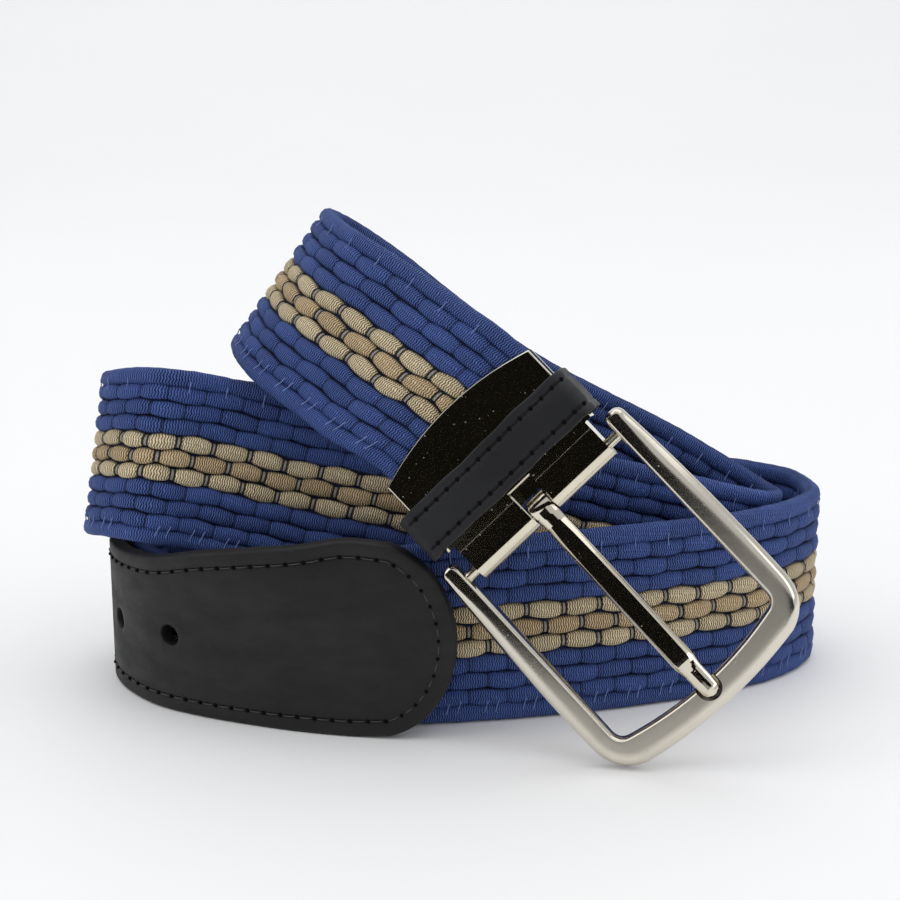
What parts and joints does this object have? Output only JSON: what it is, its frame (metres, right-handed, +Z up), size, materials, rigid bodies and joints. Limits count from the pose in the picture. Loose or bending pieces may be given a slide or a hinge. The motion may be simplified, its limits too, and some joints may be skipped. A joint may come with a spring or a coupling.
{
  "type": "braided stretch belt",
  "caption": "Braided elastic belt coiled on its edge, with a leather tip, a leather keeper, a metal end clamp, and a hinged buckle frame with a prong.",
  "frame": {"origin": "middle of the bounding box at the floor the coil stands on", "axes": "+Z up, +X to the right along the coil's long side, seen from the buckle's side, +Y back through the coil"},
  "size_m": [0.1444, 0.0802, 0.09],
  "materials": {
    "webbing": "woven, with a beige stripe",
    "leather": "matt black, stitched",
    "dark_chrome": "polished",
    "nickel": "satin",
    "polished_nickel": "polished"
  },
  "bodies": {
    "belt": {"band": "webbing", "leather_tip": "leather", "keeper_loop": "leather", "end_clamp": "dark_chrome", "hinge_pin": "nickel"},
    "frame": {"buckle_frame": "nickel"},
    "prong": {"buckle_prong": "polished_nickel"}
  },
  "joints": [
    {"name": "frame_swing", "type": "hinge", "parent": "belt", "child": "frame", "pos_m": [0.0148, -0.0247, 0.0435], "axis": [-0.7055, 0.0075, -0.7086], "range_deg": [0, 50]},
    {"name": "prong_lift", "type": "hinge", "parent": "frame", "child": "prong", "pos_m": [0.0148, -0.0247, 0.0435], "axis": [-0.7055, 0.0075, -0.7086], "range_deg": [0, 45]}
  ]
}
